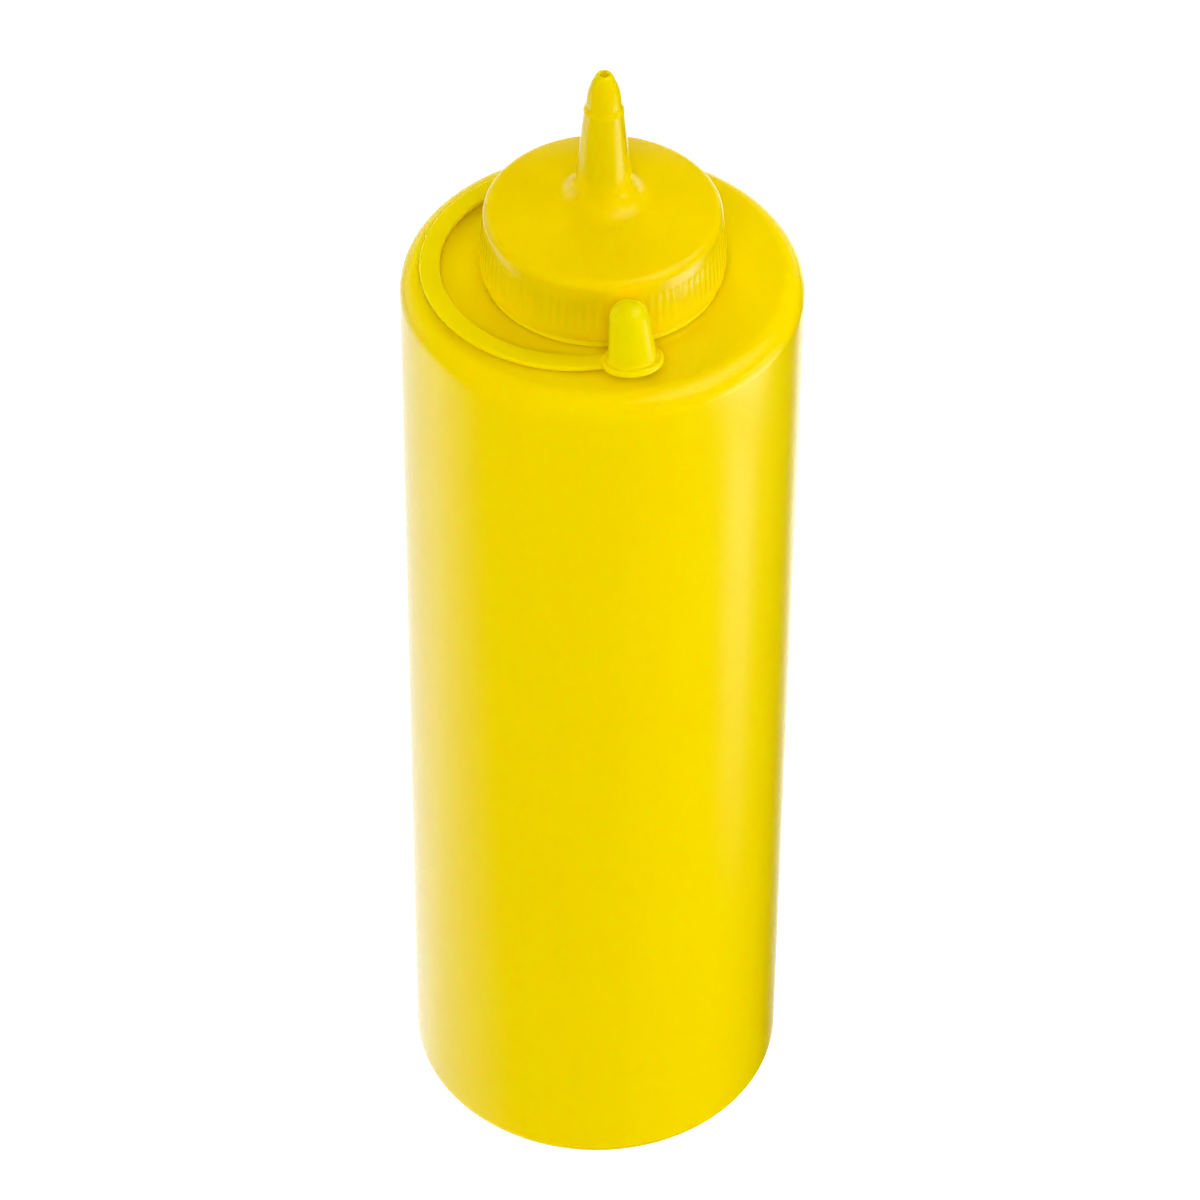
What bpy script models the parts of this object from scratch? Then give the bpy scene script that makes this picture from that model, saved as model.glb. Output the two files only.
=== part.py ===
"""Plastic squeeze bottle with a ribbed screw cap, a tapered nozzle and a tip cap on a strap.

Metres, +Z up. The bottle stands on its base, with the origin at the centre of the base.
It is three pieces: the blow moulded body, the moulded screw cap with its nozzle, and the
moulded tether, which is a neck ring, a strap and a small tip cap in one.
"""
import math

import bmesh
import bpy
from mathutils import Matrix, Vector

# Body
BODY_RADIUS = 0.0350
SHOULDER_HEIGHT = 0.1930
SHOULDER_ROUNDING = 0.0040
BASE_ROUNDING = 0.0025
STANDING_RING_INNER = 0.0280
UNDERSIDE_RISE = 0.0030
UNDERSIDE_FLAT_SHARE = 0.35
UNDERSIDE_STEPS = 4
NECK_RADIUS = 0.0188
NECK_TOP = 0.2030
NECK_CHAMFER = 0.0006
BODY_SIDES = 72

# Gap between pieces that meet
FIT_GAP = 0.0003

# Cap skirt, its grip ribs and its dome
SKIRT_BOTTOM = 0.19515
SKIRT_BOTTOM_RADIUS = 0.02135
SKIRT_TOP = 0.2050
SKIRT_TOP_RADIUS = 0.02065
SKIRT_EDGE_CHAMFER = 0.0003
RIB_COUNT = 88
RIB_BAND_BOTTOM = 0.1969
RIB_BAND_TOP = 0.2038
RIB_RELIEF = 0.0002
RIB_SLOPE_WIDTH = 0.00028
RIM_ROUNDING = 0.0020
DOME_RADIUS = 0.0720
DOME_TOP = 0.2099

# Nozzle
NOZZLE_ROOT_ROUNDING = 0.0045
ROOT_STEPS = 6
ROOT_COARSE_STEPS = 4
NOZZLE_LOW = 0.2155
NOZZLE_LOW_RADIUS = 0.00460
NOZZLE_HIGH = 0.2291
NOZZLE_HIGH_RADIUS = 0.00330
BEAD_BOTTOM = 0.2276
BEAD_PROUD = 0.00008
BEAD_TOP = 0.2283
TIP_START = 0.2298
TIP_FOOT = 0.2294
TIP_FOOT_RADIUS = 0.00303
TIP_CURVE_RADIUS = 0.01245
TIP_ROUNDING = 0.0005
TIP_TOP = 0.2358
HOLE_RADIUS = 0.00088
HOLE_BOTTOM_RADIUS = 0.00075
HOLE_BOTTOM = 0.2310

# Tether: ring round the neck, and strap lying on the shoulder on a circle of its own
RING_INNER = 0.01915
RING_OUTER = 0.0206
RING_THICKNESS = 0.0013
RING_SIDES = 72
STRAP_CENTRE = (-0.00405, 0.00020)
STRAP_OUTER = 0.02750
STRAP_WIDTH = 0.0035
STRAP_THICKNESS = 0.0010
STRAP_CHAMFER = 0.00025
STRAP_START = math.radians(-10)
STRAP_END = math.radians(288)
STRAP_STEPS = 60
STRAP_ROOT_END = math.radians(40)
STRAP_ROOT_CUT = 0.00260
LIFT_START = math.radians(255)
LIFT_END = math.radians(285)
LIFT_SHARE = 0.4

# Tip cap: a closed thimble with a flange, leaning on the cap
TIP_CAP_PLACE = (0.00528, -0.02614, 0.19466)
TIP_CAP_LEAN_X = math.radians(-4.8)
TIP_CAP_LEAN_Y = math.radians(12.0)
TIP_CAP_FLANGE_RADIUS = 0.0053
TIP_CAP_FLANGE_THICKNESS = 0.0012
TIP_CAP_FLANGE_CHAMFER = 0.0003
TIP_CAP_FILLET = 0.00045
TIP_CAP_BASE_RADIUS = 0.00410
TIP_CAP_DOME_RADIUS = 0.00342
TIP_CAP_HEIGHT = 0.01208
TIP_CAP_WALL = 0.0006
BORE_CUT_DEPTH = 0.0035
TIP_CAP_SIDES = 32


def clear_scene():
    """Remove whatever the scene holds."""
    for item in list(bpy.data.objects):
        bpy.data.objects.remove(item, do_unlink=True)


def plastic(name, colour, roughness):
    """A coloured low density polyethylene; the colour is linear red, green, blue."""
    material = bpy.data.materials.new(name)
    material.use_nodes = True
    shader = material.node_tree.nodes["Principled BSDF"]
    shader.inputs["Base Color"].default_value = (*colour, 1.0)
    shader.inputs["Roughness"].default_value = roughness
    shader.inputs["Metallic"].default_value = 0.0
    return material


def arc(centre, radius, start, end, steps):
    """Points of (radius, height) along an arc, its angles in radians from outwards to up."""
    angles = [start + (end - start) * step / steps for step in range(steps + 1)]
    return [(centre[0] + radius * math.cos(a), centre[1] + radius * math.sin(a)) for a in angles]


def smooth_step(value, low, high):
    """0 below low and 1 above high, with an even ease between them."""
    share = min(max((value - low) / (high - low), 0.0), 1.0)
    return share * share * (3.0 - 2.0 * share)


def turned(outline, sides, closed=False):
    """Spin an outline of (radius, height) points about Z into one closed mesh."""
    shape = bmesh.new()
    points = [shape.verts.new((radius, 0.0, height)) for radius, height in outline]
    ends = points[1:] + points[:1] if closed else points[1:]
    edges = [shape.edges.new(pair) for pair in zip(points, ends)]
    bmesh.ops.spin(shape, geom=points + edges, cent=(0, 0, 0), axis=(0, 0, 1),
                   angle=2 * math.pi, steps=sides, use_merge=True)
    bmesh.ops.remove_doubles(shape, verts=shape.verts, dist=1e-6)
    bmesh.ops.recalc_face_normals(shape, faces=shape.faces)
    return shape


def add_object(name, shape, material, sharp_angle=32.0):
    """Put a finished mesh in the scene, shaded smooth but for its real edges."""
    mesh = bpy.data.meshes.new(name)
    shape.to_mesh(mesh)
    shape.free()
    mesh.shade_smooth()
    mesh.set_sharp_from_angle(angle=math.radians(sharp_angle))
    mesh.materials.append(material)
    item = bpy.data.objects.new(name, mesh)
    bpy.context.scene.collection.objects.link(item)
    return item


def join_or_cut(item, tool, operation):
    """Unite an object with another, or cut it by one, which stays as a wire guide."""
    tool.hide_render = True
    tool.display_type = "WIRE"
    step = item.modifiers.new(f"{operation.lower()} {tool.name}", "BOOLEAN")
    step.operation = operation
    step.solver = "EXACT"
    step.object = tool


def body_outline():
    """The body from the middle of its underside to the middle of its neck's top."""
    ring_outer = BODY_RADIUS - BASE_ROUNDING
    underside = [(0.0, UNDERSIDE_RISE)]
    for step in range(1, UNDERSIDE_STEPS + 1):
        share = step / UNDERSIDE_STEPS
        height = UNDERSIDE_RISE * (1.0 - smooth_step(share, 0.0, 1.0))
        reach = STANDING_RING_INNER * (UNDERSIDE_FLAT_SHARE + (1.0 - UNDERSIDE_FLAT_SHARE) * share)
        underside.append((reach, height))
    base = arc((ring_outer, BASE_ROUNDING), BASE_ROUNDING, -math.pi / 2, 0.0, 4)
    corner_centre = (BODY_RADIUS - SHOULDER_ROUNDING, SHOULDER_HEIGHT - SHOULDER_ROUNDING)
    shoulder = arc(corner_centre, SHOULDER_ROUNDING, 0.0, math.pi / 2, 7)
    neck = [
        (NECK_RADIUS, SHOULDER_HEIGHT),
        (NECK_RADIUS, NECK_TOP - NECK_CHAMFER),
        (NECK_RADIUS - NECK_CHAMFER, NECK_TOP),
        (0.0, NECK_TOP),
    ]
    return underside + base + shoulder + neck


def touching_centre(wall_radius, wall_height, wall_slope, offset):
    """Centre of the arc between the dome and a cone that leans inwards by wall_slope.

    A positive offset is the radius of a hollow corner outside both, as at the nozzle's
    root. A negative one is the radius of a rounded corner inside both, as at the rim.
    """
    dome_centre = DOME_TOP - DOME_RADIUS
    lean = math.tan(wall_slope)
    foot = wall_radius - (dome_centre - wall_height) * lean + offset / math.cos(wall_slope)
    reach = DOME_RADIUS + offset
    spread = 1.0 + lean * lean
    rise = foot * lean + math.sqrt((foot * lean) ** 2 - spread * (foot ** 2 - reach ** 2))
    rise /= spread
    return foot - rise * lean, dome_centre + rise


def cone_slope(low, low_radius, high, high_radius):
    """Angle by which a cone leans inwards from upright."""
    return math.atan2(low_radius - high_radius, high - low)


def cone_radius(height, low, low_radius, high, high_radius):
    """Radius of a cone at a height."""
    return low_radius + (high_radius - low_radius) * (height - low) / (high - low)


def skirt_outline():
    """The cap from the middle of its hollow, round the neck, to the foot of its dome."""
    skirt = (SKIRT_BOTTOM, SKIRT_BOTTOM_RADIUS, SKIRT_TOP, SKIRT_TOP_RADIUS)
    hollow_radius = NECK_RADIUS + FIT_GAP
    outline = [
        (0.0, NECK_TOP + FIT_GAP),
        (hollow_radius, NECK_TOP + FIT_GAP),
        (hollow_radius, SKIRT_BOTTOM),
        (SKIRT_BOTTOM_RADIUS - SKIRT_EDGE_CHAMFER, SKIRT_BOTTOM),
        (SKIRT_BOTTOM_RADIUS, SKIRT_BOTTOM + SKIRT_EDGE_CHAMFER),
        (cone_radius(RIB_BAND_BOTTOM, *skirt), RIB_BAND_BOTTOM),
    ]
    for height in (RIB_BAND_BOTTOM + RIB_RELIEF, RIB_BAND_TOP - RIB_RELIEF):
        outline.append((cone_radius(height, *skirt) - RIB_RELIEF, height))
    outline.append((cone_radius(RIB_BAND_TOP, *skirt), RIB_BAND_TOP))
    return outline


def dome_outline():
    """The cap from the rounded rim, over the dome, to the top of the nozzle's root."""
    dome_centre = DOME_TOP - DOME_RADIUS
    skirt_slope = cone_slope(SKIRT_BOTTOM, SKIRT_BOTTOM_RADIUS, SKIRT_TOP, SKIRT_TOP_RADIUS)
    rim = touching_centre(SKIRT_BOTTOM_RADIUS, SKIRT_BOTTOM, skirt_slope, -RIM_ROUNDING)
    rim_angle = math.atan2(rim[1] - dome_centre, rim[0])
    nozzle_slope = cone_slope(NOZZLE_LOW, NOZZLE_LOW_RADIUS, NOZZLE_HIGH, NOZZLE_HIGH_RADIUS)
    root = touching_centre(NOZZLE_LOW_RADIUS, NOZZLE_LOW, nozzle_slope, NOZZLE_ROOT_ROUNDING)
    root_angle = math.atan2(root[1] - dome_centre, root[0])
    rounded_rim = arc(rim, RIM_ROUNDING, skirt_slope, rim_angle, 5)
    dome = arc((0.0, dome_centre), DOME_RADIUS, rim_angle, root_angle, 6)
    hollow_root = arc(root, NOZZLE_ROOT_ROUNDING, math.pi + root_angle, math.pi + nozzle_slope, ROOT_STEPS)
    return rounded_rim + dome[1:-1] + hollow_root


def nozzle_outline():
    """The nozzle above its root: cone, bead, rounded tip and the blind outlet hole."""
    cone = (NOZZLE_LOW, NOZZLE_LOW_RADIUS, NOZZLE_HIGH, NOZZLE_HIGH_RADIUS)
    bead_radius = cone_radius(BEAD_BOTTOM, *cone) + BEAD_PROUD
    bead = [
        (cone_radius(BEAD_BOTTOM, *cone), BEAD_BOTTOM),
        (bead_radius, BEAD_BOTTOM + BEAD_PROUD),
    ]
    curve_centre = (TIP_FOOT_RADIUS - TIP_CURVE_RADIUS, TIP_FOOT)
    start_angle = math.asin((TIP_START - TIP_FOOT) / TIP_CURVE_RADIUS)
    start_radius = curve_centre[0] + TIP_CURVE_RADIUS * math.cos(start_angle)
    for height in (BEAD_TOP, (BEAD_TOP + TIP_START) / 2):
        ease = smooth_step(height, BEAD_TOP, TIP_START)
        bead.append((bead_radius + (start_radius - bead_radius) * ease, height))
    lip_reach = TIP_CURVE_RADIUS - TIP_ROUNDING
    lip_angle = math.asin((TIP_TOP - TIP_ROUNDING - TIP_FOOT) / lip_reach)
    lip_centre = (curve_centre[0] + lip_reach * math.cos(lip_angle), TIP_TOP - TIP_ROUNDING)
    mouth_angle = math.acos((HOLE_RADIUS - lip_centre[0]) / TIP_ROUNDING)
    tip = arc(curve_centre, TIP_CURVE_RADIUS, start_angle, lip_angle, 6)
    lip = arc(lip_centre, TIP_ROUNDING, lip_angle, mouth_angle, 2)
    hole = [(HOLE_BOTTOM_RADIUS, HOLE_BOTTOM), (0.0, HOLE_BOTTOM)]
    return bead + tip + lip[1:] + hole


def raise_ribs(shape):
    """Raise a rib from each face of the sunk band until it is flush with the skirt."""
    band = []
    for face in shape.faces:
        heights = [corner.co.z for corner in face.verts]
        tall = max(heights) - min(heights) > (RIB_BAND_TOP - RIB_BAND_BOTTOM) / 2
        outside = face.calc_center_median().to_2d().length > (NECK_RADIUS + SKIRT_TOP_RADIUS) / 2
        inside_band = min(heights) > RIB_BAND_BOTTOM and max(heights) < RIB_BAND_TOP
        if tall and outside and inside_band:
            band.append(face)
    bmesh.ops.inset_individual(shape, faces=band, thickness=RIB_SLOPE_WIDTH,
                               depth=RIB_RELIEF, use_even_offset=True)


def halve_nozzle_sides(shape, foot):
    """Pull every second edge of the nozzle's rings together, as the slim part needs fewer."""
    turn = 2 * math.pi / RIB_COUNT
    pairs = []
    for edge in shape.edges:
        first, second = [corner.co for corner in edge.verts]
        level = abs(first.z - second.z) < 1e-6
        if not level or first.z < foot or first.to_2d().length < HOLE_BOTTOM_RADIUS / 2:
            continue
        middle = (first + second) / 2
        if middle.to_2d().length < HOLE_BOTTOM_RADIUS / 2:
            continue
        if math.floor(math.atan2(middle.y, middle.x) / turn) % 2 == 0:
            pairs.append(edge)
    bmesh.ops.collapse(shape, edges=pairs)


def strap_edges(angle):
    """Inner and outer radius of the strap about its own centre, narrowed at its root."""
    outer = STRAP_OUTER - STRAP_ROOT_CUT * (1 - smooth_step(angle, STRAP_START, STRAP_ROOT_END))
    return STRAP_OUTER - STRAP_WIDTH, outer


def strap_shape(lean_axis, flange_middle):
    """Spin the strap's flat section about its centre, then fit its root and lift its end."""
    inner = STRAP_OUTER - STRAP_WIDTH
    half = STRAP_THICKNESS / 2
    side = half - STRAP_CHAMFER
    section = [
        (inner + STRAP_CHAMFER, -half), (STRAP_OUTER - STRAP_CHAMFER, -half),
        (STRAP_OUTER, -side), (STRAP_OUTER, side),
        (STRAP_OUTER - STRAP_CHAMFER, half), (inner + STRAP_CHAMFER, half),
        (inner, side), (inner, -side),
    ]
    shape = bmesh.new()
    points = [shape.verts.new((reach, 0.0, height)) for reach, height in section]
    edges = [shape.edges.new(pair) for pair in zip(points, points[1:] + points[:1])]
    bmesh.ops.rotate(shape, verts=points, cent=(0, 0, 0),
                     matrix=Matrix.Rotation(STRAP_START, 3, "Z"))
    bmesh.ops.spin(shape, geom=points + edges, cent=(0, 0, 0), axis=(0, 0, 1),
                   angle=STRAP_END - STRAP_START, steps=STRAP_STEPS)
    bmesh.ops.holes_fill(shape, edges=shape.edges, sides=len(section))
    lying = SHOULDER_HEIGHT + FIT_GAP + RING_THICKNESS / 2
    for point in shape.verts:
        angle = math.atan2(point.co.y, point.co.x)
        while angle < STRAP_START - 1e-4:
            angle += 2 * math.pi
        low, high = strap_edges(angle)
        across = (point.co.to_2d().length - inner) / STRAP_WIDTH
        reach = low + (high - low) * across
        x = STRAP_CENTRE[0] + reach * math.cos(angle)
        y = STRAP_CENTRE[1] + reach * math.sin(angle)
        away = (x - flange_middle.x) * lean_axis.x + (y - flange_middle.y) * lean_axis.y
        flange_height = flange_middle.z - away / lean_axis.z
        lift = LIFT_SHARE * smooth_step(angle, LIFT_START, LIFT_END)
        point.co = (x, y, point.co.z + lying + (flange_height - lying) * lift)
    bmesh.ops.recalc_face_normals(shape, faces=shape.faces)
    return shape


def thimble_outline(inset):
    """Half section of the tip cap without its flange, or of its bore when inset is set."""
    dome_radius = TIP_CAP_DOME_RADIUS - inset
    dome_height = TIP_CAP_HEIGHT - TIP_CAP_DOME_RADIUS
    dome = arc((0.0, dome_height), dome_radius, 0.0, math.pi / 2, 7)
    return [(TIP_CAP_BASE_RADIUS - inset, 0.0)] + dome


def flange_outline():
    """Half section of the tip cap's flange, with a small fillet up to the thimble's wall."""
    radius = TIP_CAP_FLANGE_RADIUS
    top = TIP_CAP_FLANGE_THICKNESS
    chamfer = TIP_CAP_FLANGE_CHAMFER
    wall = (0.0, TIP_CAP_BASE_RADIUS, TIP_CAP_HEIGHT - TIP_CAP_DOME_RADIUS, TIP_CAP_DOME_RADIUS)
    return [
        (0.0, 0.0),
        (radius - chamfer, 0.0),
        (radius, chamfer),
        (radius, top - chamfer),
        (radius - chamfer, top),
        (TIP_CAP_BASE_RADIUS + TIP_CAP_FILLET, top),
        (cone_radius(top + TIP_CAP_FILLET, *wall), top + TIP_CAP_FILLET),
    ]


def build_body(material):
    """The blow moulded body with its neck."""
    return add_object("bottle_body", turned(body_outline(), BODY_SIDES), material)


def build_cap(material):
    """The screw cap and nozzle, moulded in one."""
    dome = dome_outline()
    shape = turned(skirt_outline() + dome + nozzle_outline(), RIB_COUNT)
    raise_ribs(shape)
    halve_nozzle_sides(shape, dome[-1 - ROOT_COARSE_STEPS][1])
    return add_object("nozzle_cap", shape, material)


def build_tether(material):
    """Neck ring, strap and tip cap, moulded in one."""
    lean = Vector((math.sin(TIP_CAP_LEAN_X), math.sin(TIP_CAP_LEAN_Y), 1.0)).normalized()
    place = Vector(TIP_CAP_PLACE)
    bottom = SHOULDER_HEIGHT + FIT_GAP
    top = bottom + RING_THICKNESS
    ring_section = [(RING_INNER, bottom), (RING_OUTER, bottom), (RING_OUTER, top), (RING_INNER, top)]
    tether = add_object("tip_cap_tether", turned(ring_section, RING_SIDES, closed=True), material)

    strap = add_object("strap_tool", strap_shape(lean, place + lean * TIP_CAP_FLANGE_THICKNESS / 2),
                       material)
    join_or_cut(tether, strap, "UNION")

    flanged = flange_outline() + thimble_outline(0.0)[1:]
    outside = add_object("tip_cap_tool", turned(flanged, TIP_CAP_SIDES), material)
    bore = thimble_outline(TIP_CAP_WALL)
    cutter = [(0.0, -BORE_CUT_DEPTH), (bore[0][0], -BORE_CUT_DEPTH)] + bore
    inside = add_object("tip_bore_tool", turned(cutter, TIP_CAP_SIDES), material)
    for tool, operation in ((outside, "UNION"), (inside, "DIFFERENCE")):
        tool.location = place
        tool.rotation_euler = lean.to_track_quat("Z", "Y").to_euler()
        join_or_cut(tether, tool, operation)
    return tether


clear_scene()
build_body(plastic("body_yellow", (0.871, 0.658, 0.004), 0.34))
build_cap(plastic("cap_yellow", (0.862, 0.616, 0.004), 0.26))
build_tether(plastic("tether_yellow", (0.855, 0.700, 0.006), 0.30))
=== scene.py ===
import math

import bmesh
import bpy
from mathutils import Matrix, Vector


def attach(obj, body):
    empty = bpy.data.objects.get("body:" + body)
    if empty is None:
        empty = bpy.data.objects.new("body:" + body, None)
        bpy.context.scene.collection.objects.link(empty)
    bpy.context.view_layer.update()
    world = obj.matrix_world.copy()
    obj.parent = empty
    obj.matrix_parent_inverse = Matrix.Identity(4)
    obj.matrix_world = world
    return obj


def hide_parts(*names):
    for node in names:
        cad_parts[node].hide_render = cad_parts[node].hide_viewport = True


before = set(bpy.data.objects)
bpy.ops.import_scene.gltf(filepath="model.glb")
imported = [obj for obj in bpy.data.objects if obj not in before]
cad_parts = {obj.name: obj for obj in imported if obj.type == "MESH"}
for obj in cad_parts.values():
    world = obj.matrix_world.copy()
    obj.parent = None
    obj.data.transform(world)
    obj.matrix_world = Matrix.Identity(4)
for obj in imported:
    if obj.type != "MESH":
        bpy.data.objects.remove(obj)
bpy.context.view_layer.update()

# The bottle's body: a blow moulded low density polyethylene tube with a rounded shoulder, a
# recessed underside on a flat standing ring, and the fine seam that the two mould halves
# leave up both sides and across the underside. It carries everything else.
BODY_RADIUS = 0.0350
SHOULDER_HEIGHT = 0.1930
SHOULDER_ROUNDING = 0.0040
BASE_ROUNDING = 0.0025
NECK_RADIUS = 0.0188
NECK_TOP = 0.2030
STANDING_RING_INNER = 0.0280
UNDERSIDE_RISE = 0.0030
UNDERSIDE_STEPS = 12
WALL_RINGS = 40
SEAM_HALF_WIDTH = 0.00022
SEAM_PROUD = 0.00002
PINCH_PROUD = 0.00035
PINCH_LENGTH = 0.046
WALL_UNEVENNESS = 0.00004
WALL_WAVE = 0.045
BODY_SIDES = 192
SHOULDER_SEGMENTS = 16
BASE_SEGMENTS = 10
PATCH_SIZE = 0.035
STREAK_WIDTH = 0.006
STREAK_STRETCH = 0.06
SCUFF_SIZE = 0.012
PEEL_SIZE = 0.0007
GLOSS_SPREAD = 0.012
PLASTIC_INDEX = 1.51
SCATTER_COLOUR = (1.0, 0.65, 0.08)
SCATTER_REACH = 0.0025


def colour(code):
    """An sRGB hex colour such as F5D400 as linear red, green, blue and alpha."""
    shades = [int(code[place:place + 2], 16) / 255 for place in (0, 2, 4)]
    return [s / 12.92 if s <= 0.04045 else ((s + 0.055) / 1.055) ** 2.4 for s in shades] + [1.0]


def add(tree, kind, links=None, **settings):
    """A node with its settings, and with each input's value or the socket that feeds it."""
    node = tree.nodes.new(kind)
    for name, value in settings.items():
        setattr(node, name, value)
    for name, value in (links or {}).items():
        if isinstance(value, bpy.types.NodeSocket):
            tree.links.new(value, node.inputs[name])
        else:
            node.inputs[name].default_value = value
    return node


def new_primitive(make, name, **sizes):
    """Deselect all, add a primitive under its own name and open it for editing."""
    bpy.ops.object.select_all(action="DESELECT")
    make(**sizes)
    piece = bpy.context.object
    piece.name = name
    piece.data.name = name
    bpy.ops.object.mode_set(mode="EDIT")
    return piece


def choose(kind, test):
    """Select just the open mesh's corners, edges or faces that pass the test."""
    modes = {"verts": (True, False, False), "edges": (False, True, False), "faces": (False, False, True)}
    bpy.ops.mesh.select_all(action="DESELECT")
    bpy.context.tool_settings.mesh_select_mode = modes[kind]
    mesh = bpy.context.object.data
    shape = bmesh.from_edit_mesh(mesh)
    for item in getattr(shape, kind):
        item.select_set(test(item))
    shape.select_flush_mode()
    bmesh.update_edit_mesh(mesh)


def reach(corner):
    """How far a corner is from the Z axis."""
    return corner.co.to_2d().length


def close(value, target, slack=2e-5):
    """Whether a length is the wanted one."""
    return abs(value - target) < slack


def level_edge(edge, radius, height):
    """Whether an edge is part of the ring of that radius at that height."""
    return all(close(reach(c), radius) and close(c.co.z, height) for c in edge.verts)


def finish_mesh(piece, angle=30):
    """Leave edit mode, place the mesh at the origin and shade it smooth but for its edges."""
    bpy.ops.object.mode_set(mode="OBJECT")
    bpy.ops.object.transform_apply(location=True, rotation=True, scale=True)
    bpy.ops.object.shade_smooth_by_angle(angle=math.radians(angle))
    return piece


def smooth_step(value, low, high):
    """0 below low and 1 above high, with an even ease between them."""
    share = min(max((value - low) / (high - low), 0.0), 1.0)
    return share * share * (3.0 - 2.0 * share)


body = new_primitive(bpy.ops.mesh.primitive_cylinder_add, "Squeeze_Body", vertices=BODY_SIDES,
                     radius=BODY_RADIUS, depth=SHOULDER_HEIGHT, location=(0, 0, SHOULDER_HEIGHT / 2))
bpy.ops.object.mode_set(mode="OBJECT")
bpy.ops.object.transform_apply(location=True)
bpy.ops.object.mode_set(mode="EDIT")

# The shoulder's flat, then the neck that the cap is screwed on.
choose("faces", lambda f: f.normal.z > 0.9)
bpy.ops.mesh.inset(thickness=BODY_RADIUS - NECK_RADIUS)
bpy.ops.mesh.extrude_region_move(TRANSFORM_OT_translate={"value": (0, 0, NECK_TOP - SHOULDER_HEIGHT)})

# The underside, raised towards its middle inside the standing ring. Its steps follow half a sine
# wave, so it is level beside the ring and in the middle.
choose("faces", lambda f: f.normal.z < -0.9)
bpy.ops.mesh.inset(thickness=BODY_RADIUS - STANDING_RING_INNER)
for step in range(UNDERSIDE_STEPS - 1):
    rise = UNDERSIDE_RISE / UNDERSIDE_STEPS * math.sin(math.pi * (step + 1) / UNDERSIDE_STEPS) * math.pi / 2
    bpy.ops.mesh.inset(thickness=STANDING_RING_INNER / UNDERSIDE_STEPS)
    bpy.ops.transform.translate(value=(0, 0, rise))
bpy.ops.mesh.merge(type="CENTER")

# The rounded shoulder and foot, and rings up the wall for its slight unevenness.
choose("edges", lambda e: level_edge(e, BODY_RADIUS, SHOULDER_HEIGHT))
bpy.ops.mesh.bevel(offset=SHOULDER_ROUNDING, segments=SHOULDER_SEGMENTS, profile=0.5)
choose("edges", lambda e: level_edge(e, BODY_RADIUS, 0.0))
bpy.ops.mesh.bevel(offset=BASE_ROUNDING, segments=BASE_SEGMENTS, profile=0.5)
choose("edges", lambda e: e.calc_length() > SHOULDER_HEIGHT / 2)
bpy.ops.mesh.subdivide(number_cuts=WALL_RINGS)

# The mould seam: two cuts close beside the parting plane, and the line between them raised.
for side in (-1, 1):
    bpy.ops.mesh.select_all(action="SELECT")
    bpy.ops.mesh.bisect(plane_co=(0, side * SEAM_HALF_WIDTH, 0), plane_no=(0, 1, 0))
choose("verts", lambda v: close(v.co.y, 0) and v.co.z > BASE_ROUNDING / 2 and reach(v) > NECK_RADIUS * 1.05)
bpy.ops.transform.shrink_fatten(value=SEAM_PROUD)
choose("verts", lambda v: close(v.co.y, 0) and v.co.z < UNDERSIDE_RISE * 1.1 and reach(v) < PINCH_LENGTH / 2)
bpy.ops.transform.translate(value=(0, 0, -PINCH_PROUD))
choose("verts", lambda v: BASE_ROUNDING * 3 < v.co.z < SHOULDER_HEIGHT - SHOULDER_ROUNDING * 2)
bpy.ops.object.vertex_group_add()
bpy.ops.object.vertex_group_assign()
finish_mesh(body)

# A blown wall is never quite true, which is what lets its reflections waver.
waver = bpy.data.textures.new("wall_waver", "CLOUDS")
waver.noise_scale = WALL_WAVE
waver.noise_depth = 1
push = body.modifiers.new("wall unevenness", "DISPLACE")
push.texture = waver
push.texture_coords = "LOCAL"
push.vertex_group = body.vertex_groups[0].name
push.strength = WALL_UNEVENNESS
push.mid_level = 0.5
bpy.ops.object.modifier_apply(modifier=push.name)


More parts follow.
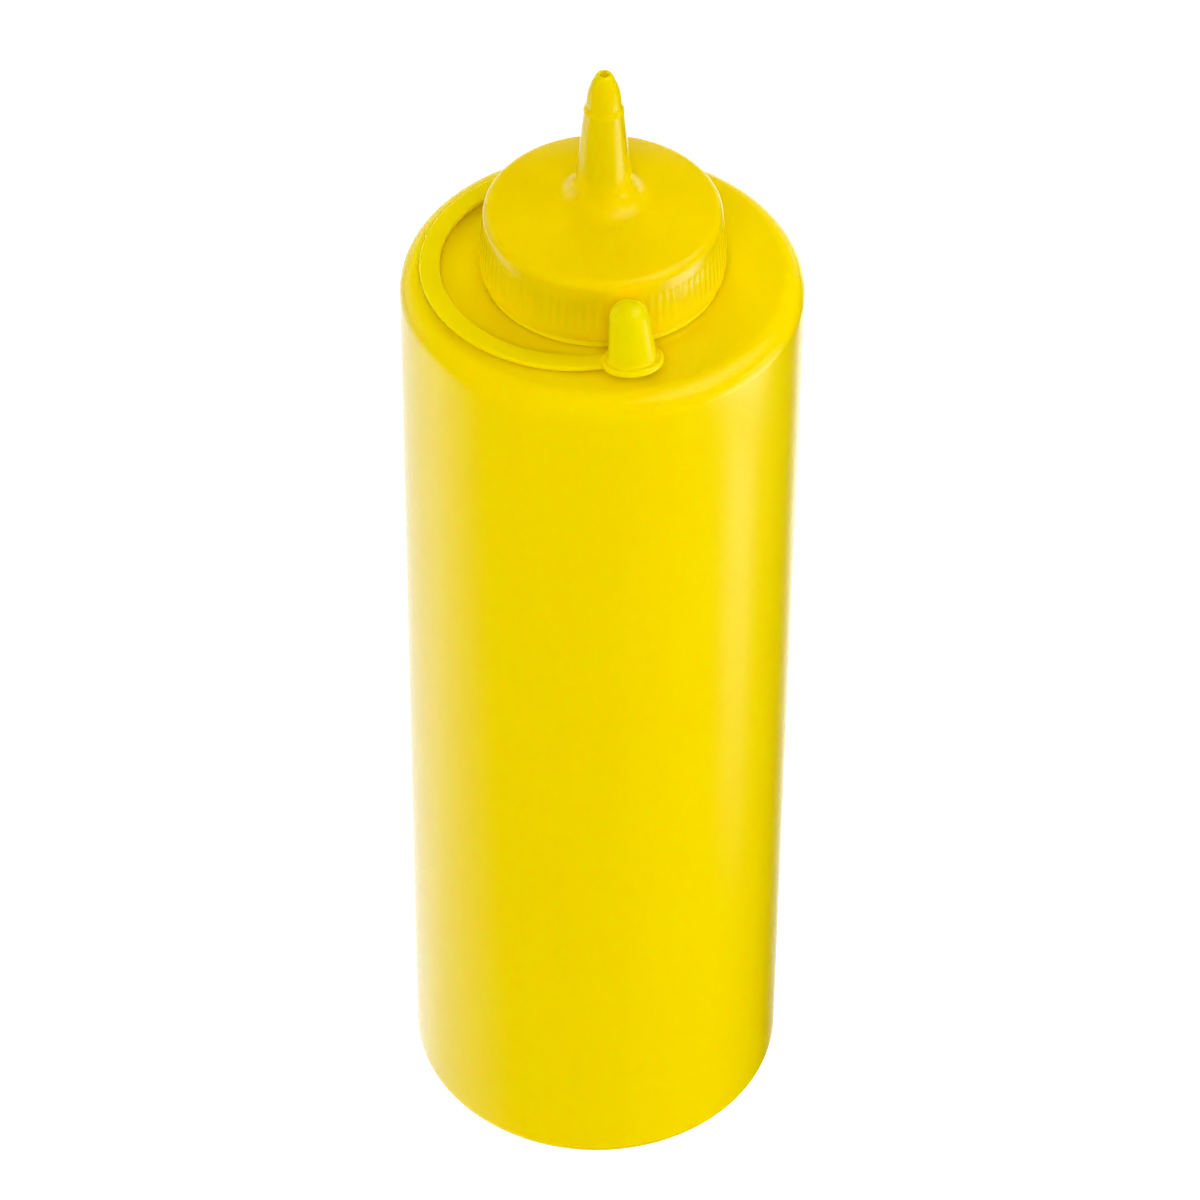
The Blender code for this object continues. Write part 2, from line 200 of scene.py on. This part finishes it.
def polyethylene(name, tone, deep_tone, roughness, texture_depth, depth=0.8,
                 thin_tone=None, thin_from=0.0, thin_to=1.0):
    """Moulded low density polyethylene: a waxy, slightly see-through plastic, coloured through.

    Its gloss is soft and a little uneven, its skin has the fine peel of the mould, and the
    colour deepens in broad patches. Depth is the share of the light that goes in and scatters.
    A part with a thin tone fades to it from one height up to another, as its wall gets thin.
    """
    material = bpy.data.materials.new(name)
    material.use_nodes = True
    tree = material.node_tree
    shader = tree.nodes["Principled BSDF"]
    place = add(tree, "ShaderNodeTexCoord").outputs["Object"]
    patches = add(tree, "ShaderNodeTexNoise", {"Vector": place, "Scale": 1 / PATCH_SIZE, "Detail": 2.0})
    streak_place = add(tree, "ShaderNodeMapping", {"Vector": place, "Scale": (1.0, 1.0, STREAK_STRETCH)})
    streaks = add(tree, "ShaderNodeTexNoise", {"Vector": streak_place.outputs["Vector"],
                                               "Scale": 1 / STREAK_WIDTH, "Detail": 3.0})
    blend = add(tree, "ShaderNodeMath", {0: patches.outputs["Fac"], 1: streaks.outputs["Fac"]},
                operation="MULTIPLY")
    share = add(tree, "ShaderNodeMapRange", {"Value": blend.outputs[0], "From Min": 0.15, "From Max": 0.36})
    tint = add(tree, "ShaderNodeMix", {"Factor": share.outputs[0], "A": colour(tone), "B": colour(deep_tone)},
               data_type="RGBA")
    finished = tint.outputs[2]
    if thin_tone:
        height = add(tree, "ShaderNodeSeparateXYZ", {"Vector": place}).outputs["Z"]
        thinness = add(tree, "ShaderNodeMapRange",
                       {"Value": height, "From Min": thin_from, "From Max": thin_to},
                       interpolation_type="SMOOTHSTEP")
        thin = add(tree, "ShaderNodeMix",
                   {"Factor": thinness.outputs[0], "A": finished, "B": colour(thin_tone)},
                   data_type="RGBA")
        finished = thin.outputs[2]
    tree.links.new(finished, shader.inputs["Base Color"])
    scuffs = add(tree, "ShaderNodeTexNoise",
                 {"Vector": place, "Scale": 1 / SCUFF_SIZE, "Detail": 6.0, "Roughness": 0.6})
    gloss = add(tree, "ShaderNodeMapRange",
                {"Value": scuffs.outputs["Fac"], "From Min": 0.3, "From Max": 0.7,
                 "To Min": roughness - GLOSS_SPREAD, "To Max": roughness + GLOSS_SPREAD})
    tree.links.new(gloss.outputs[0], shader.inputs["Roughness"])
    peel = add(tree, "ShaderNodeTexNoise", {"Vector": place, "Scale": 1 / PEEL_SIZE, "Detail": 2.0})
    relief = add(tree, "ShaderNodeBump",
                 {"Height": peel.outputs["Fac"], "Strength": 1.0, "Distance": texture_depth})
    tree.links.new(relief.outputs["Normal"], shader.inputs["Normal"])
    shader.inputs["IOR"].default_value = PLASTIC_INDEX
    shader.inputs["Subsurface Weight"].default_value = depth
    shader.inputs["Subsurface Radius"].default_value = SCATTER_COLOUR
    shader.inputs["Subsurface Scale"].default_value = SCATTER_REACH
    return material


body.data.materials.append(polyethylene("blow_moulded_LDPE", "F9DC00", "F7DA00", 0.18, 0.0000015))
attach(body, "root")
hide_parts("bottle_body")

# The screw cap: injection moulded in one piece with its nozzle, with fine grip ribs round the
# skirt, a domed top and a hollow that fits over the neck. It is screwed down on the neck and
# stops just above the shoulder. The bead near the nozzle's tip is where the tip cap seats.
SKIRT_BOTTOM = 0.19515
SKIRT_BOTTOM_RADIUS = 0.02135
SKIRT_TOP = 0.2050
SKIRT_TOP_RADIUS = 0.02065
SKIRT_EDGE_CHAMFER = 0.0003
FIT_GAP = 0.0003
RIB_COUNT = 88
SIDES_PER_RIB = 4
RIB_BAND_BOTTOM = 0.1969
RIB_BAND_TOP = 0.2038
RIB_FADE = 0.0008
RIB_RELIEF = 0.0001
RIM_ROUNDING = 0.0020
DOME_RADIUS = 0.0720
DOME_TOP = 0.2099
NOZZLE_ROOT_ROUNDING = 0.0045
NOZZLE_LOW = 0.2155
NOZZLE_LOW_RADIUS = 0.00460
NOZZLE_HIGH = 0.2291
NOZZLE_HIGH_RADIUS = 0.00330
BEAD_BOTTOM = 0.2276
BEAD_PROUD = 0.00004
BEAD_TOP = 0.2283
TIP_START = 0.2298
TIP_FOOT = 0.2294
TIP_FOOT_RADIUS = 0.00303
TIP_CURVE_RADIUS = 0.01245
TIP_ROUNDING = 0.0005
TIP_TOP = 0.2358
HOLE_RADIUS = 0.00088
HOLE_BOTTOM_RADIUS = 0.00075
HOLE_BOTTOM = 0.2310
SKIRT_EDGE_BULGE = 0.3
RIB_ROWS = 18
NOZZLE_MIDDLE = 0.2245
BEAD_EASE = 0.0003
BEAD_EASE_SHARE = 0.2
BEAD_STEPS = 6
MOUTH_DEPTH = 0.0003
MOUTH_SHARE = 0.97
RIM_STEPS = 12
DOME_STEPS = 16
ROOT_STEPS = 14
TIP_STEPS = 14
LIP_STEPS = 5


def arc(centre, radius, start, end, steps):
    """Points of (reach, height) along an arc, its angles in radians from outwards to up."""
    angles = [start + (end - start) * step / steps for step in range(steps + 1)]
    return [(centre[0] + radius * math.cos(a), centre[1] + radius * math.sin(a)) for a in angles]


def spin_outline(name, outline, sides, closed=False):
    """Draw an outline of (reach, height) by extruding one corner, and spin it about Z."""
    first = (outline[0][0], 0, outline[0][1])
    piece = new_primitive(bpy.ops.mesh.primitive_plane_add, name, size=0.001, location=first)
    bpy.ops.mesh.merge(type="CENTER")
    for start, end in zip(outline, outline[1:]):
        step = (end[0] - start[0], 0, end[1] - start[1])
        bpy.ops.mesh.extrude_region_move(TRANSFORM_OT_translate={"value": step})
    bpy.ops.mesh.select_all(action="SELECT")
    if closed:
        choose("verts", lambda v: len(v.link_edges) == 1)
        bpy.ops.mesh.edge_face_add()
        bpy.ops.mesh.select_all(action="SELECT")
    bpy.ops.mesh.spin(steps=sides, angle=2 * math.pi, center=(0, 0, 0), axis=(0, 0, 1))
    bpy.ops.mesh.select_all(action="SELECT")
    bpy.ops.mesh.remove_doubles(threshold=0.000002)
    bpy.ops.mesh.normals_make_consistent(inside=False)
    bpy.ops.object.mode_set(mode="OBJECT")
    bpy.ops.object.transform_apply(location=True)
    bpy.ops.object.mode_set(mode="EDIT")
    return piece


def cone_radius(height, low, low_radius, high, high_radius):
    """Radius of a cone at a height."""
    return low_radius + (high_radius - low_radius) * (height - low) / (high - low)


def touching_centre(wall_radius, wall_height, wall_slope, offset):
    """Centre of an arc between the dome and a cone: outside both, or inside for a minus offset."""
    dome_centre = DOME_TOP - DOME_RADIUS
    lean = math.tan(wall_slope)
    foot = wall_radius - (dome_centre - wall_height) * lean + offset / math.cos(wall_slope)
    span = DOME_RADIUS + offset
    spread = 1.0 + lean * lean
    rise = (foot * lean + math.sqrt((foot * lean) ** 2 - spread * (foot ** 2 - span ** 2))) / spread
    return foot - rise * lean, dome_centre + rise


skirt = (SKIRT_BOTTOM, SKIRT_BOTTOM_RADIUS, SKIRT_TOP, SKIRT_TOP_RADIUS)
skirt_slope = math.atan2(SKIRT_BOTTOM_RADIUS - SKIRT_TOP_RADIUS, SKIRT_TOP - SKIRT_BOTTOM)
hollow = NECK_RADIUS + FIT_GAP
skirt_outline = [(0, NECK_TOP + FIT_GAP), (hollow, NECK_TOP + FIT_GAP), (hollow, SKIRT_BOTTOM),
                 (SKIRT_BOTTOM_RADIUS - SKIRT_EDGE_CHAMFER, SKIRT_BOTTOM),
                 (SKIRT_BOTTOM_RADIUS - SKIRT_EDGE_CHAMFER * SKIRT_EDGE_BULGE,
                  SKIRT_BOTTOM + SKIRT_EDGE_CHAMFER * SKIRT_EDGE_BULGE),
                 (SKIRT_BOTTOM_RADIUS, SKIRT_BOTTOM + SKIRT_EDGE_CHAMFER)]
rib_rows = [RIB_BAND_BOTTOM + (RIB_BAND_TOP - RIB_BAND_BOTTOM) * step / RIB_ROWS
            for step in range(RIB_ROWS + 1)]
skirt_outline += [(cone_radius(height, *skirt), height) for height in rib_rows]

dome_centre = DOME_TOP - DOME_RADIUS
rim = touching_centre(SKIRT_BOTTOM_RADIUS, SKIRT_BOTTOM, skirt_slope, -RIM_ROUNDING)
rim_angle = math.atan2(rim[1] - dome_centre, rim[0])
nozzle = (NOZZLE_LOW, NOZZLE_LOW_RADIUS, NOZZLE_HIGH, NOZZLE_HIGH_RADIUS)
nozzle_slope = math.atan2(NOZZLE_LOW_RADIUS - NOZZLE_HIGH_RADIUS, NOZZLE_HIGH - NOZZLE_LOW)
root = touching_centre(NOZZLE_LOW_RADIUS, NOZZLE_LOW, nozzle_slope, NOZZLE_ROOT_ROUNDING)
root_angle = math.atan2(root[1] - dome_centre, root[0])
dome_outline = arc(rim, RIM_ROUNDING, skirt_slope, rim_angle, RIM_STEPS)
dome_outline += arc((0, dome_centre), DOME_RADIUS, rim_angle, root_angle, DOME_STEPS)[1:-1]
dome_outline += arc(root, NOZZLE_ROOT_ROUNDING, math.pi + root_angle, math.pi + nozzle_slope, ROOT_STEPS)

bead_radius = cone_radius(BEAD_BOTTOM, *nozzle) + BEAD_PROUD
nozzle_outline = [(cone_radius(height, *nozzle), height)
                  for height in (NOZZLE_MIDDLE, BEAD_BOTTOM - BEAD_EASE)]
nozzle_outline += [(cone_radius(BEAD_BOTTOM, *nozzle) + BEAD_PROUD * BEAD_EASE_SHARE, BEAD_BOTTOM),
                   (bead_radius, BEAD_BOTTOM + BEAD_EASE)]
curve_centre = (TIP_FOOT_RADIUS - TIP_CURVE_RADIUS, TIP_FOOT)
start_angle = math.asin((TIP_START - TIP_FOOT) / TIP_CURVE_RADIUS)
start_radius = curve_centre[0] + TIP_CURVE_RADIUS * math.cos(start_angle)
for step in range(BEAD_STEPS):
    height = BEAD_TOP + (TIP_START - BEAD_TOP) * step / BEAD_STEPS
    share = smooth_step(step, 0, BEAD_STEPS)
    nozzle_outline.append((bead_radius + (start_radius - bead_radius) * share, height))
lip_reach = TIP_CURVE_RADIUS - TIP_ROUNDING
lip_angle = math.asin((TIP_TOP - TIP_ROUNDING - TIP_FOOT) / lip_reach)
lip_centre = (curve_centre[0] + lip_reach * math.cos(lip_angle), TIP_TOP - TIP_ROUNDING)
mouth_angle = math.acos((HOLE_RADIUS - lip_centre[0]) / TIP_ROUNDING)
nozzle_outline += arc(curve_centre, TIP_CURVE_RADIUS, start_angle, lip_angle, TIP_STEPS)
nozzle_outline += arc(lip_centre, TIP_ROUNDING, lip_angle, mouth_angle, LIP_STEPS)[1:]
nozzle_outline += [(HOLE_RADIUS * MOUTH_SHARE, TIP_TOP - MOUTH_DEPTH),
                   (HOLE_BOTTOM_RADIUS, HOLE_BOTTOM), (0, HOLE_BOTTOM)]

cap = spin_outline("Ribbed_Nozzle_Cap", skirt_outline + dome_outline + nozzle_outline,
                   RIB_COUNT * SIDES_PER_RIB)

# The grip ribs: two of every four columns of corners are pressed in, less so at both ends.
turn = 2 * math.pi / (RIB_COUNT * SIDES_PER_RIB)
for height in rib_rows[1:-1]:
    depth = RIB_RELIEF * smooth_step(min(height - RIB_BAND_BOTTOM, RIB_BAND_TOP - height), 0, RIB_FADE)
    row_radius = cone_radius(height, *skirt)
    choose("verts", lambda v: close(v.co.z, height) and reach(v) > hollow * 1.03
           and round(math.atan2(v.co.y, v.co.x) / turn) % SIDES_PER_RIB < 2)
    shrink = 1 - depth / row_radius
    bpy.ops.transform.resize(value=(shrink, shrink, 1), center_override=(0, 0, height))
finish_mesh(cap, angle=40)
cap.data.materials.append(polyethylene("injection_moulded_LDPE", "F2D400", "F0D200", 0.16, 0.000001,
                                       depth=0.6, thin_tone="EDD400", thin_from=0.2105, thin_to=0.2180))
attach(cap, "root")
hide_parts("nozzle_cap")

# The tether: a soft ring held round the neck under the cap, a flat strap that lies on the
# shoulder, and a small tip cap, all one injection moulding of thin polyethylene. The tip cap
# is off the nozzle here, and leans towards the skirt, just clear of it, its flange's front edge up.
RING_INNER = 0.01915
RING_OUTER = 0.0206
RING_THICKNESS = 0.0013
STRAP_CENTRE = (-0.00405, 0.00020, 0)
STRAP_OUTER = 0.02750
STRAP_WIDTH = 0.0035
STRAP_THICKNESS = 0.0010
STRAP_ROUNDING = 0.0003
STRAP_START = math.radians(-10)
STRAP_END = math.radians(288)
STRAP_STEPS = 144
STRAP_ROOT_END = math.radians(40)
STRAP_ROOT_CUT = 0.00260
LIFT_START = math.radians(255)
LIFT_END = math.radians(285)
LIFT_SHARE = 0.4
TIP_CAP_PLACE = (0.00528, -0.02614, 0.19466)
TIP_CAP_LEAN = Vector((math.sin(math.radians(-4.8)), math.sin(math.radians(12.0)), 1.0)).normalized()
FLANGE_RADIUS = 0.0053
FLANGE_THICKNESS = 0.0012
FLANGE_ROUNDING = 0.0004
THIMBLE_BASE_RADIUS = 0.00410
THIMBLE_DOME_RADIUS = 0.00342
THIMBLE_HEIGHT = 0.01208
THIMBLE_WALL = 0.0006
THIMBLE_FILLET = 0.00045
THIMBLE_SIDES = 96
BORE_CUT_DEPTH = 0.0035
RING_CHAMFER = 0.0002
RING_SIDES = 192
COLUMN_SLACK = math.radians(0.4)

lying = SHOULDER_HEIGHT + FIT_GAP + RING_THICKNESS / 2
half = RING_THICKNESS / 2
ring_outline = [
    (RING_INNER + RING_CHAMFER, lying - half), (RING_OUTER - RING_CHAMFER, lying - half),
    (RING_OUTER, lying - half + RING_CHAMFER), (RING_OUTER, lying + half - RING_CHAMFER),
    (RING_OUTER - RING_CHAMFER, lying + half), (RING_INNER + RING_CHAMFER, lying + half),
    (RING_INNER, lying + half - RING_CHAMFER), (RING_INNER, lying - half + RING_CHAMFER),
]
tether = spin_outline("Tip_Cap_Tether", ring_outline, RING_SIDES, closed=True)
bpy.ops.object.mode_set(mode="OBJECT")

# The strap is a flat section with rounded edges, spun about a centre of its own.
inner = STRAP_OUTER - STRAP_WIDTH
strap = new_primitive(bpy.ops.mesh.primitive_plane_add, "strap_tool", size=1, location=(0, 0, 0))
bpy.ops.transform.resize(value=(STRAP_WIDTH, STRAP_THICKNESS, 1))
bpy.ops.transform.rotate(value=math.pi / 2, orient_axis="X", center_override=(0, 0, 0))
bpy.ops.mesh.bevel(offset=STRAP_ROUNDING, segments=4, affect="VERTICES")
bpy.ops.mesh.delete(type="ONLY_FACE")
bpy.ops.mesh.select_all(action="SELECT")
bpy.ops.transform.translate(value=(inner + STRAP_WIDTH / 2, 0, lying))
bpy.ops.transform.rotate(value=-STRAP_START, orient_axis="Z", center_override=(0, 0, 0))
bpy.ops.mesh.spin(steps=STRAP_STEPS, angle=STRAP_START - STRAP_END, center=(0, 0, 0), axis=(0, 0, 1))
choose("edges", lambda e: len(e.link_faces) == 1)
bpy.ops.mesh.edge_face_add()
bpy.ops.mesh.select_all(action="SELECT")
bpy.ops.mesh.normals_make_consistent(inside=False)


def choose_column(angle):
    """Select the strap's section at one angle about its own centre."""
    choose("verts", lambda v: abs((math.atan2(v.co.y, v.co.x) - angle + math.pi) % math.tau - math.pi)
           < COLUMN_SLACK)


flange_middle = Vector(TIP_CAP_PLACE) + TIP_CAP_LEAN * FLANGE_THICKNESS / 2
for step in range(STRAP_STEPS + 1):
    angle = STRAP_START + (STRAP_END - STRAP_START) * step / STRAP_STEPS
    width = STRAP_WIDTH - STRAP_ROOT_CUT * (1 - smooth_step(angle, STRAP_START, STRAP_ROOT_END))
    lift = LIFT_SHARE * smooth_step(angle, LIFT_START, LIFT_END)
    if width < STRAP_WIDTH:
        choose_column(angle)
        narrow = width / STRAP_WIDTH
        bpy.ops.transform.resize(value=(narrow, narrow, 1),
                                 center_override=(inner * math.cos(angle), inner * math.sin(angle), 0))
    if lift > 0:
        choose_column(angle)
        middle = Vector((math.cos(angle), math.sin(angle), 0)) * (inner + width / 2)
        away = middle + Vector(STRAP_CENTRE) - flange_middle
        rise = flange_middle.z - (away.x * TIP_CAP_LEAN.x + away.y * TIP_CAP_LEAN.y) / TIP_CAP_LEAN.z - lying
        middle.z = lying
        bpy.ops.transform.rotate(value=math.asin(TIP_CAP_LEAN.y) * lift, orient_axis="X",
                                 center_override=middle)
        bpy.ops.transform.rotate(value=-math.asin(TIP_CAP_LEAN.x) * lift, orient_axis="Y",
                                 center_override=middle)
        bpy.ops.transform.translate(value=(0, 0, rise * lift))
bpy.ops.mesh.select_all(action="SELECT")
bpy.ops.transform.translate(value=STRAP_CENTRE)
bpy.ops.object.mode_set(mode="OBJECT")


def join_or_cut(piece, tool, operation):
    """Join a tool to a piece, or cut it out, and take the tool away."""
    change = piece.modifiers.new(operation.lower(), "BOOLEAN")
    change.operation = operation
    change.object = tool
    change.solver = "EXACT"
    bpy.ops.object.select_all(action="DESELECT")
    bpy.context.view_layer.objects.active = piece
    bpy.ops.object.modifier_apply(modifier=change.name)
    bpy.data.objects.remove(tool)


def thimble_outline(inset):
    """Half section of the tip cap without its flange, or of its bore when inset is set."""
    top = arc((0, THIMBLE_HEIGHT - THIMBLE_DOME_RADIUS), THIMBLE_DOME_RADIUS - inset, 0, math.pi / 2, 16)
    return [(THIMBLE_BASE_RADIUS - inset, 0)] + top[:-1] + [(0, top[-1][1])]


join_or_cut(tether, strap, "UNION")
fillet = arc((THIMBLE_BASE_RADIUS + THIMBLE_FILLET, FLANGE_THICKNESS + THIMBLE_FILLET), THIMBLE_FILLET,
             -math.pi / 2, -math.pi, 4)
flange_outline = [(0, 0), (FLANGE_RADIUS - FLANGE_ROUNDING, 0)]
flange_outline += arc((FLANGE_RADIUS - FLANGE_ROUNDING, FLANGE_ROUNDING), FLANGE_ROUNDING,
                      -math.pi / 2, 0, 5)[1:]
flange_outline += arc((FLANGE_RADIUS - FLANGE_ROUNDING, FLANGE_THICKNESS - FLANGE_ROUNDING), FLANGE_ROUNDING,
                      0, math.pi / 2, 5)
bore_outline = thimble_outline(THIMBLE_WALL)
bore_outline = [(0, -BORE_CUT_DEPTH), (bore_outline[0][0], -BORE_CUT_DEPTH)] + bore_outline
tip_cap = spin_outline("tip_cap_tool", flange_outline + fillet + thimble_outline(0)[1:], THIMBLE_SIDES)
bpy.ops.object.mode_set(mode="OBJECT")
bore = spin_outline("tip_bore_tool", bore_outline, THIMBLE_SIDES)
bpy.ops.object.mode_set(mode="OBJECT")
for tool, operation in ((tip_cap, "UNION"), (bore, "DIFFERENCE")):
    tool.location = TIP_CAP_PLACE
    tool.rotation_euler = TIP_CAP_LEAN.to_track_quat("Z", "Y").to_euler()
    join_or_cut(tether, tool, operation)
bpy.context.view_layer.objects.active = tether
tether.select_set(True)
finish_mesh(tether, angle=40)
tether.data.materials.append(polyethylene("soft_moulded_LDPE", "F9DE00", "F7DC00", 0.18, 0.000001, depth=0.4))
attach(tether, "root")
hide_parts("tip_cap_tether")

# The table: a lit white acrylic sheet, as used for product photos, so it has almost no shadow.
# Only the camera sees it. What it would reflect and light comes from the cards and lamps below.
TABLE_SIZE = 6

floor = new_primitive(bpy.ops.mesh.primitive_plane_add, "White_Table", size=TABLE_SIZE)
finish_mesh(floor)
acrylic = bpy.data.materials.new("lit_white_acrylic")
acrylic.use_nodes = True
sheet = acrylic.node_tree.nodes["Principled BSDF"]
sheet.inputs["Base Color"].default_value = colour("9A9A9A")
sheet.inputs["Roughness"].default_value = 0.6
sheet.inputs["Emission Color"].default_value = colour("FFFFFF")
sheet.inputs["Emission Strength"].default_value = 0.9
floor.data.materials.append(acrylic)
floor.visible_glossy = False
floor.visible_diffuse = False
floor.visible_shadow = False


def light_card(name, place, target, size, strength, ramps=()):
    """A soft light panel that shows only in reflections.

    Each ramp is a direction across the panel, in shares of its width and its height, and how
    far along it the panel is still dark and is fully bright.
    """
    direction = Vector(target) - Vector(place)
    bpy.ops.object.select_all(action="DESELECT")
    bpy.ops.mesh.primitive_plane_add(size=1, location=place,
                                     rotation=direction.to_track_quat("Z", "Y").to_euler())
    card = bpy.context.object
    card.name = name
    card.dimensions = (size[0], size[1], 0)
    bpy.ops.object.transform_apply(location=True, rotation=True, scale=True)
    material = bpy.data.materials.new(name + "_glow")
    material.use_nodes = True
    tree = material.node_tree
    tree.nodes.clear()
    spread = add(tree, "ShaderNodeTexCoord").outputs["UV"]
    level = strength
    for across, up, dark, bright in ramps:
        along = add(tree, "ShaderNodeVectorMath", {0: spread, 1: (across, up, 0)}, operation="DOT_PRODUCT")
        ease = add(tree, "ShaderNodeMapRange",
                   {"Value": along.outputs["Value"], "From Min": dark, "From Max": bright})
        level = add(tree, "ShaderNodeMath", {0: level, 1: ease.outputs[0]}, operation="MULTIPLY").outputs[0]
    glow = add(tree, "ShaderNodeEmission", {"Color": colour("FFFFFF"), "Strength": level})
    add(tree, "ShaderNodeOutputMaterial", {"Surface": glow.outputs[0]})
    card.data.materials.append(material)
    card.visible_camera = False
    card.visible_diffuse = False
    card.visible_transmission = False
    card.visible_volume_scatter = False
    card.visible_shadow = False


def fill_light(name, place, target, size, radiance):
    """A white soft box that lights the plastic but doesn't show in its gloss."""
    lamp = bpy.data.lights.new(name, "AREA")
    lamp.shape = "RECTANGLE"
    lamp.size, lamp.size_y = size
    lamp.energy = radiance * math.pi * size[0] * size[1]
    lamp.cycles.use_multiple_importance_sampling = False
    holder = bpy.data.objects.new(name, lamp)
    bpy.context.scene.collection.objects.link(holder)
    holder.location = place
    holder.rotation_euler = (Vector(place) - Vector(target)).to_track_quat("Z", "Y").to_euler()
    holder.visible_glossy = False
    holder.visible_camera = False


# Reflections: a large soft box above on the right, a bright panel with a lamp behind it standing
# close on the right, a lit sheet under the table on the left and behind, and pale walls beyond.
light_card("Soft_Box", (0.62, -0.13, 0.94), (0, 0, 0.2), (1.20, 0.95), 0.85,
           ((1, 0, 0, 0.28), (1, 0, 1, 0.78), (0, 1, 0, 0.35), (0, 1, 1, 0.66)))
light_card("Standing_Panel", (0.125, -0.027, 0.0775), (0, -0.027, 0.0775), (0.066, 0.245), 0.95,
           ((1, 0, 0, 0.4), (1, 0, 1, 0.6), (0, 1, 0, 0.53)))
light_card("Panel_Lamp", (0.124, -0.040, 0.133), (0, -0.040, 0.133), (0.120, 0.094), 2.45,
           ((1, 0, 0, 0.25), (1, 0, 1, 0.55), (0, 1, 0, 0.41), (0, 1, 1, 0.52)))
light_card("Sheet_Below", (-0.85, 1.365, -0.2), (-0.85, 1.365, 1), (3.5, 3.0), 1.25,
           ((0, 1, 1, 0.915), (1, 0, 0.771, 0.3), (2.695, -1.92, -1.150, -1.050)))
light_card("Wall_Back", (0, 1.4, 0.30), (0, 0, 0.30), (2.4, 0.70), 0.68,
           ((1, 0, 0, 0.1), (1, 0, 1, 0.9), (0, 1, 1, 0.5)))
light_card("Wall_Left", (-1.3, 1.1, 0.525), (0, 1.1, 0.525), (1.8, 1.15), 0.75,
           ((1, 0, 0, 0.4), (0, 1, 1, 0.13)))

# Light on the plastic: soft boxes all round, and from below through the table.
fill_light("Fill_Top", (0, 0, 1.4), (0, 0, 0), (1.8, 1.8), 0.41)
fill_light("Fill_Camera", (0, -1.1, 1.1), (0, 0, 0.1), (1.0, 0.8), 4.7)
fill_light("Fill_Left", (-1.2, -0.3, 0.5), (0, 0, 0.1), (1.0, 0.8), 3.8)
fill_light("Fill_Right", (1.2, -0.3, 0.5), (0, 0, 0.1), (1.0, 0.8), 5.3)
fill_light("Fill_Back", (0, 1.3, 0.7), (0, 0, 0.1), (1.2, 0.8), 5.2)
fill_light("Fill_Below", (0, -0.3, -0.9), (0, 0, 0.1), (1.8, 1.8), 2.1)

world = bpy.data.worlds.new("Dark_Room")
bpy.context.scene.world = world
world.use_nodes = True
world.node_tree.nodes["Background"].inputs["Color"].default_value = colour("000000")

# The camera: a long lens looking down on the bottle from the front, turned a hair. Its place,
# lens and angles are those fitted to the photographed outline.
LENS_MM = 161.09
SENSOR_MM = 36
CAMERA_PLACE = (0.0001, -0.70810, 0.79128)
LOOK_DOWN_DEGREES = 43.708
ROLL_DEGREES = 0.54

camera_data = bpy.data.cameras.new("Photo_Camera")
camera_data.lens = LENS_MM
camera_data.sensor_width = SENSOR_MM
camera_data.clip_start = 0.01
camera = bpy.data.objects.new("Photo_Camera", camera_data)
bpy.context.scene.collection.objects.link(camera)
camera.location = CAMERA_PLACE
tilt = Matrix.Rotation(math.radians(90 - LOOK_DOWN_DEGREES), 3, "X")
roll = Matrix.Rotation(math.radians(ROLL_DEGREES), 3, "Z")
camera.rotation_euler = (tilt @ roll).to_euler()
bpy.context.scene.camera = camera
bpy.context.scene.view_settings.view_transform = "Standard"
bpy.context.scene.view_settings.look = "None"
